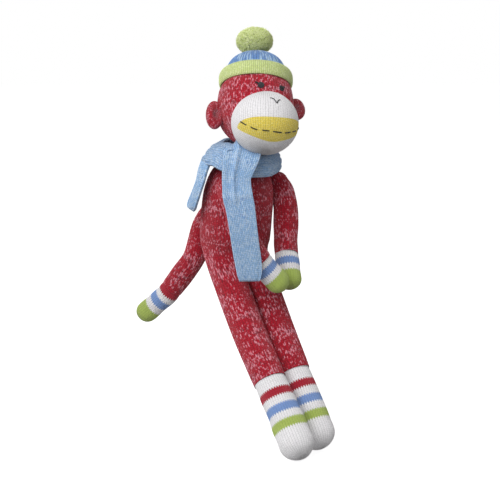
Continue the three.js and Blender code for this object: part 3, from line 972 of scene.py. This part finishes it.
def make_ear(name):
    """A padded disc sewn to the side of the head, dished in front, its wales running outwards."""
    ear = EARS[name]
    centre = np.array(ear["place"], float)
    wide, thick, high = ear["wide"], 7.5, ear["high"]
    wales, rows = 30, 64
    u = stitch_columns(wales)
    turns = ring_turns(u)
    p = np.linspace(0, math.pi, rows)
    out, depth = np.sin(p), np.cos(p)
    rim = np.maximum(out, 0.02)
    dish = np.where(depth > 0, 1 - 0.55 * np.exp(-((out / 0.45) ** 2)), 1)
    x = wide * rim[:, None] * np.cos(turns)
    up = high * rim[:, None] * np.sin(turns)
    y = -thick * (depth * dish)[:, None] * np.ones_like(turns)
    grid = np.stack([x, y, up], -1) + centre
    v = np.arange(rows) / PER_COURSE
    knit = knitted(grid, MARL, u, v, True, 0.3, 17)
    keep = seen_faces(knit, 2)
    surface = Surface(f"{name}_ear_knit").grid(in_head(knit), u, v, True, keep=keep, caps=(0, -1))
    declare(surface.build(MATERIALS["marl"]), "head", [f"{name}_ear"])


# Hat

CROWN = [
    (0.5, 66.6), (11.5, 65.8), (20.5, 62.8), (27.6, 57.4), (32.2, 50), (34.4, 43), (36, 36),
    (36.4, 31),
]
BRIM = [
    (37.9, 30.5), (38.2, 28.2), (39.4, 27.3), (40.7, 29), (41.4, 35), (40.8, 40.4),
    (38.8, 43.6), (36.2, 44.4), (34.3, 42.8),
]


def make_hat():
    crown = {"wale": 3.5, "course": 2.3, "relief": 0.75}
    piece = turned_knit("hat_crown_knit", CROWN, crown, 67, MATERIALS["hat"], (0,))
    declare(piece, "head", ["hat_crown"])
    piece = turned_knit("hat_brim_knit", BRIM, BRIM_KNIT, 116, MATERIALS["brim"], per_wale=4)
    declare(piece, "head", ["hat_brim"])
    make_pompom()


def make_pompom():
    """Thousands of short curled yarn ends round a core, which shows as painted shade between them."""
    rng = np.random.default_rng(SEED)
    count = 9500
    centre = np.array([-1.5, 1.0, 83.2])
    reach = np.array([20.6, 20.6, 14.8])
    turn = rng.uniform(0, 2 * math.pi, count)
    level = rng.uniform(-1, 1, count)
    ring = np.sqrt(1 - level**2)
    way = np.stack([ring * np.cos(turn), ring * np.sin(turn), level], -1)
    swell = 1 + 0.035 * lumps(way * reach, 16, 31)
    tip = way * reach * (swell * rng.uniform(0.93, 1.02, count))[:, None]
    root = way * reach * (swell * rng.uniform(0.7, 0.8, count))[:, None]
    side = unit(np.cross(way, rng.normal(size=(count, 3))))
    other = np.cross(way, side)
    lean = side * rng.uniform(0.5, 3.2, count)[:, None]
    levels, widths = np.array([0, 0.4, 0.75, 1.0]), np.array([0.42, 0.46, 0.44, 0.3])
    sides = 3
    spin = rng.uniform(0, 2 * math.pi, count)
    # How strong each tuft's painted highlight is at its tip.
    tint = rng.uniform(0, 1, count) ** 1.6
    points, depth, tip_highlights = [], [], []
    for share, width in zip(levels, widths):
        middle = root + (tip - root) * math.sin(share * 1.57) + lean * share**1.5
        for k in range(sides):
            a = spin + 2 * math.pi * k / sides
            points.append(middle + width * (side * np.cos(a)[:, None] + other * np.sin(a)[:, None]))
            depth.append(np.full(count, share))
            tip_highlights.append(tint)
    points.append(tip + lean + way * 0.2)
    depth.append(np.ones(count))
    tip_highlights.append(tint)
    per = len(points)
    base = np.arange(count)[:, None] * per
    last = (len(levels) - 1) * sides
    quads, triangles = [], []
    for k in range(sides):
        n = (k + 1) % sides
        for j in range(0, last, sides):
            quads.append(base + np.array([j + k, j + n, j + sides + n, j + sides + k]))
        triangles.append(base + np.array([last + k, last + n, per - 1]))
    surface = Surface("pompom_yarn")
    points = np.stack(points, 1).reshape(-1, 3)
    surface.points.append(in_head(points + centre))
    surface.count = len(points)
    surface.quads.append(np.vstack(quads))
    surface.uv.append(np.zeros((len(surface.quads[0]), 4, 2)))
    surface.triangles.append(np.vstack(triangles))
    surface.triangle_uv.append(np.zeros((len(surface.triangles[0]), 3, 2)))
    depth = np.stack(depth, 1).reshape(-1)
    tip_highlights = np.stack(tip_highlights, 1).reshape(-1)
    tilt = np.linspace(-math.pi / 2 + 0.04, math.pi / 2 - 0.04, 24)
    core = turned(np.cos(tilt), np.sin(tilt), circle(48)) * reach * 0.8
    surface.grid(in_head(core + centre), np.arange(49.0), np.arange(24.0), True, caps=(0, -1))
    # The core is given the roots' depth, so it takes the painted shade's dark colour.
    rest = np.full(surface.count - len(depth), 0.15)
    tags = [("depth", np.append(depth, rest)), ("tint", np.append(tip_highlights, rest * 0))]
    declare(surface.build(MATERIALS["pompom"], tags), "head", ["pompom"])


# Neck: gathered knit under the scarf, drawn in by a thread

def make_neck():
    x, y, radius = 0, -42, 13.6
    route = Route([(x, y, 128), (x, y, 134), (x, y, 146)])
    height = np.arange(0, route.length, MARL_ROW)
    u = stitch_columns(26)
    turns = ring_turns(u)
    waist = 1 - 0.12 * np.exp(-(((height - 7) / 2.2) ** 2))
    grid = rings(route, radius * waist, height, turns)
    pleat = 1 + 0.05 * np.cos(9 * turns)
    centre = route.at(height)[0][:, None]
    grid = centre + (grid - centre) * pleat[None, :, None]
    v = np.arange(len(height)) / PER_COURSE
    knit = knitted(grid, MARL, u, v, True)
    piece = Surface("neck_knit").grid(knit, u, v, True).build(MATERIALS["marl"])
    declare(piece, "neck", ["neck_skin"])
    loop = np.linspace(0, 6.2, 24)
    ring = [(x + 13.4 * math.cos(a), y + 13.4 * math.sin(a), 134.8) for a in loop]
    thread("neck_thread", ring, 0.7, "neck_gathering_thread", "neck", "red_thread")


# Scarf: a thick knitted strip, as the turn round the neck and its two ends

def strip(name, centres, sides, widths, thickness, folds, trim=0):
    """A closed double-faced strip along centres, with a side direction and a width at each.

    folds(across, along) moves it along its normal. A strip with a trim is a closed loop, whose
    centres go round that many points too far at each end.
    """
    gauge = SCARF_KNIT
    route = Route(centres)
    marks = route.marks
    first, last = marks[trim], marks[len(marks) - 1 - trim]
    courses = int(round((last - first) / gauge["course"]))
    rows = int(courses * 2.5) + 1
    along = np.linspace(first, last, rows)

    def at_marks(values):
        values = np.broadcast_to(np.array(values, float), (len(marks),))
        return np.interp(along, marks, values)

    side = np.stack([at_marks(c) for c in np.broadcast_to(sides, (len(marks), 3)).T], -1)
    width = at_marks(widths)
    place, tangent = route.at(along)
    side = unit(side - np.sum(side * tangent, -1, keepdims=True) * tangent)
    face = np.cross(side, tangent)
    wales = int(round(float(np.max(width)) / gauge["wale"]))
    u = np.arange(wales * PER_WALE + 1) / PER_WALE
    x = u / wales * 2 - 1
    edge = np.sqrt(1 - np.abs(x) ** 5)
    end = np.full(rows, 99.0) if trim else np.minimum(along - first, last - along)
    tip = np.sqrt(1 - np.clip(1 - end / (thickness / 2), 0, 1) ** 2)
    half = edge[None] * tip[:, None]
    shift = folds(x[None], ((along - first) / (last - first))[:, None])
    v = np.linspace(0, courses, rows)
    relief = (stitches(*np.meshgrid(u, v)) - 0.5) * gauge["relief"] * half
    middle = place[:, None] + side[:, None] * (x[None] * width[:, None] / 2)[..., None]
    front = middle + face[:, None] * (shift + half * thickness / 2 + relief)[..., None]
    back = middle + face[:, None] * (shift - half * thickness / 2 - relief)[..., None]
    grid = np.concatenate([front, back[:, -2:0:-1]], 1)
    columns = np.concatenate([u, u[-2::-1]])
    surface = Surface(name).grid(grid, columns, v, True)
    return weld(surface.build(MATERIALS["scarf"]))


def dent(place, middle, width):
    return np.exp(-(((place - middle) / width) ** 2))


# Reach, height, width and lean of the turn round the neck, each eighth of a turn from the right
SCARF_TURN = [
    (39.8, 125.5, 22, 0.25), (40, 121.5, 24, 0.3), (40.5, 122.5, 27, 0.45), (35.5, 135.5, 36, 1.15),
    (36.5, 136, 34, 1.1), (35.5, 139, 32, 1.0), (34, 133.5, 28, 0.6), (38, 130, 24, 0.4),
]
SCARF_FRONT = [
    (-25.5, -57.5, 146, 24), (-27.4, -64.0, 143.9, 33.1), (-28.2, -70.9, 139.9, 41.7),
    (-32.5, -74.5, 133.7, 41.3), (-36.4, -76.7, 126.4, 38.5), (-39.5, -77.7, 118.9, 34.9),
    (-42.1, -78.5, 110.4, 31.6), (-43.4, -81.1, 100.8, 31.9), (-44.3, -84.0, 91.2, 33.2),
    (-43.9, -88.3, 78.5, 32.1), (-43.6, -91.6, 64.5, 31.0), (-42.8, -93.9, 50.4, 30.5),
    (-41.5, -95.2, 37.3, 30.0), (-40.4, -96.6, 26.4, 30.0), (-39.4, -98.0, 15.4, 28.9),
    (-39.2, -99.0, 6.7, 27.2), (-39.3, -99.3, -1.5, 22),
]
SCARF_BACK = [
    (-34, -18, 133), (-41, -18, 127), (-46.5, -18, 117), (-50, -17, 104), (-52.8, -12, 89),
    (-55, -7, 76), (-56, -5.5, 70),
]


def scarf_piece(piece, bodies, node):
    declare(piece, bodies, [node])


def make_scarf():
    turns = np.arange(-2, 27) * 2 * math.pi / 24
    out = np.cos(turns)[:, None] * (0.819, -0.574, 0) + np.sin(turns)[:, None] * (-0.574, -0.819, 0)
    reach, level, width, tilt = (
        np.interp(turns, np.arange(8) * math.pi / 4, values, period=2 * math.pi)
        for values in np.array(SCARF_TURN, float).T
    )
    ring = out * reach[:, None] + np.array([-2, -34, 0.0]) + level[:, None] * (0, 0, 1)
    lean = (0, 0, 1) - tilt[:, None] * out

    def wrap_folds(across, along):
        turn = 2 * math.pi * along
        ribs = -1.5 * dent(across, 0.12 + 0.12 * np.cos(turn), 0.13) - 1.3 * dent(across, -0.5, 0.1)
        return ribs - 3.4 * across**2 + 0.5 * np.sin(4 * turn + 5 * across)

    wrap = strip("scarf_wrap_knit", ring, lean, width, 7, wrap_folds, trim=2)
    scarf_piece(wrap, "torso", "scarf_wrap")

    def front_folds(across, along):
        upper = 1 - smooth((along - 0.4) / 0.12)
        crease = -2.8 * dent(across, -0.2, 0.11) + 1.6 * dent(across, -0.52, 0.2)
        crease = crease + 0.8 * dent(across, 0.12, 0.16)
        near = 1 - smooth((along - 0.05) / 0.2)
        fan = 1.1 * np.cos(9.5 * across + 6 * along) * smooth(across) * near
        bend = -1.8 * dent(along, 0.43, 0.035) * (1 - 0.4 * across)
        lower = -1.0 * dent(across, 0.25, 0.12) * dent(along, 0.58, 0.12)
        roll = 1.8 * dent(across, 0.82, 0.16) * smooth((along - 0.8) / 0.12)
        return crease * upper + fan + bend + lower + roll - 1.3 * across**2

    places = [row[:3] for row in SCARF_FRONT]
    widths = [row[3] for row in SCARF_FRONT]
    piece = strip("scarf_front_knit", places, (0.819, -0.574, 0), widths, 5.5, front_folds)
    bodies = ("torso", "scarf_front", (-0.038, -0.079, 0.116), (-0.044, -0.084, 0.094))
    scarf_piece(piece, bodies, "scarf_front_end")

    def back_folds(across, along):
        return -2 * across**2 + 0.8 * np.sin(5 * along + 2 * across)

    sides = np.linspace((0.4, 0.92, 0), (0.2, 0.98, 0), len(SCARF_BACK))
    widths = [22, 25, 27, 27, 28, 26, 17]
    piece = strip("scarf_back_knit", SCARF_BACK, sides, widths, 6.5, back_folds)
    bodies = ("torso", "scarf_back", (-0.051, -0.021, 0.128), (-0.053, -0.019, 0.108))
    scarf_piece(piece, bodies, "scarf_back_end")


# Stuffing: soft lumps of fibre inside each skin

def filling(name, grid, body, node):
    bumpy = grid + outward_normals(grid, True) * (0.35 * lumps(grid, 9, 23) - 0.35)[..., None]
    u, v = np.linspace(0, 1, grid.shape[1] + 1), np.linspace(0, 1, grid.shape[0])
    surface = Surface(name).grid(bumpy, u, v, True, caps=(0, -1))
    declare(surface.build(MATERIALS["filling"]), body, [node])


def limb_filling(body, route, radii, inset=2.4):
    walls = [[float(np.interp(s, *radii)) - inset, s * route.length] for s in np.linspace(0, 1, 9)]
    top = dome(radii[1][0] - inset, 0, -1)
    tip = dome(radii[1][-1] - inset, route.length, 1)
    profile = top + walls + tip[::-1]
    radius, height = outline(profile, 2.5, 0.3)
    grid = rings(route, radius, height, circle(40))
    filling(f"{body}_filling", grid, body, f"{body}_stuffing")


def make_fillings():
    turns = circle(60)
    heights = np.linspace(27, TORSO_ROUTE.length - 3, 50)
    radius = torso_radius(heights) - 3
    radius[:5] *= [0.3, 0.6, 0.76, 0.87, 0.95]
    grid = rings(TORSO_ROUTE, radius, heights, turns, deep=TORSO_DEEP)
    filling("torso_filling", grid, "torso", "torso_stuffing")
    for name, leg in LEGS.items():
        limb_filling(f"{name}_leg", leg["route"], LEG_RADII)
        limb_filling(f"{name}_arm", ARMS[name], ARM_RADII)
    limb_filling("tail", TAIL, TAIL_RADII)
    radius, height = outline(HEAD_PROFILE, 2.5, 0.3)
    radius = np.maximum(radius - 2.6, 0.3)
    filling("head_filling", in_head(turned(radius, height * 0.955, turns)), "head", "head_stuffing")
    tilt = np.linspace(-math.pi / 2 + 0.03, math.pi / 2 - 0.03, 40)
    ball = turned(np.cos(tilt), np.sin(tilt), turns)
    inset = 2.2
    size = [MUZZLE["width"] - inset, MUZZLE["depth"] - inset, MUZZLE["height"] - inset]
    grid = ball * size + [0, MUZZLE["y"], MUZZLE["z"]]
    filling("muzzle_filling", in_head(grid), "head", "muzzle_stuffing")
    for name, ear in EARS.items():
        grid = ball * [ear["wide"] - 2.4, 2.8, ear["high"] - 2.6] + ear["place"] + [0, 1.4, 0]
        filling(f"{name}_ear_filling", in_head(grid), "head", f"{name}_ear_stuffing")
    radius = np.array([2, 9, 10.5, 10.5, 9, 2.0])
    height = np.array([0, 0.3, 1.8, 3.6, 4.8, 5.2])
    route = Route([(0, -42, 132), (0, -42, 135), (0, -42, 138)])
    filling("neck_filling", rings(route, radius, height, turns), "neck", "neck_stuffing")


# Camera, light and floor

LIT_BY_WORLD, SEEN_WORLD = 0.34, 1.0
FLOOR_GLOW = 0.72


def make_stage():
    azimuth, elevation, distance = math.radians(-35), math.radians(8), 1.7
    target = Vector((0.0130, -0.0256, 0.0205))
    back = Vector((
        math.sin(azimuth) * math.cos(elevation),
        -math.cos(azimuth) * math.cos(elevation),
        math.sin(elevation),
    ))
    camera_data = bpy.data.cameras.new("camera")
    camera_data.sensor_width = 36
    camera_data.lens = 36 * distance / 0.575
    camera = placed("camera", camera_data, target + back * distance)
    camera.rotation_euler = back.to_track_quat("Z", "Y").to_euler()
    bpy.context.scene.camera = camera

    def area(name, place, size, power, aim=(0, -0.03, 0.04)):
        data = bpy.data.lights.new(name, "AREA")
        data.shape = "DISK"
        data.size = size
        data.energy = power
        lamp = placed(name, data, place)
        lamp.rotation_euler = (Vector(place) - Vector(aim)).to_track_quat("Z", "Y").to_euler()

    area("key", (-1.55, -0.75, 1.35), 1.9, 46)
    area("front", (-0.3, -2.0, 0.9), 1.2, 4)

    world = bpy.data.worlds.new("studio")
    bpy.context.scene.world = world
    world.use_nodes = True
    tree = world.node_tree
    tree.nodes.clear()
    path, mix, output = (
        tree.nodes.new("ShaderNode" + kind) for kind in ("LightPath", "MixShader", "OutputWorld")
    )
    tree.links.new(path.outputs["Is Camera Ray"], mix.inputs[0])
    for slot, strength in ((1, LIT_BY_WORLD), (2, SEEN_WORLD)):
        white = tree.nodes.new("ShaderNodeBackground")
        white.inputs[0].default_value = (1, 1, 1, 1)
        white.inputs[1].default_value = strength
        tree.links.new(white.outputs[0], mix.inputs[slot])
    tree.links.new(mix.outputs[0], output.inputs[0])

    floor_z = cad_box[0][2] - 0.002
    shape = bmesh.new()
    bmesh.ops.create_circle(shape, cap_ends=True, segments=96, radius=14)
    mesh = bpy.data.meshes.new("floor")
    shape.to_mesh(mesh)
    shape.free()
    floor = placed("floor", mesh, (0, 0, floor_z))
    g = Graph("floor_white")
    glow = g.node("BsdfPrincipled", {
        "Base Color": (0.9, 0.9, 0.9, 1), "Roughness": 0.8,
        "Emission Color": (1, 1, 1, 1), "Emission Strength": FLOOR_GLOW,
    })
    output = g.node("OutputMaterial")
    g.tree.links.new(glow.outputs[0], output.inputs[0])
    mesh.materials.append(g.material)
    floor.visible_diffuse = False
    bpy.context.scene.view_settings.view_transform = "Standard"


make_stage()
make_torso()
for leg_name, leg_shape in LEGS.items():
    make_leg(leg_name, leg_shape)
    make_foot(leg_name, leg_shape)
    make_arm(leg_name)
make_tail()
make_head()
make_hat()
make_neck()
make_scarf()
make_fillings()
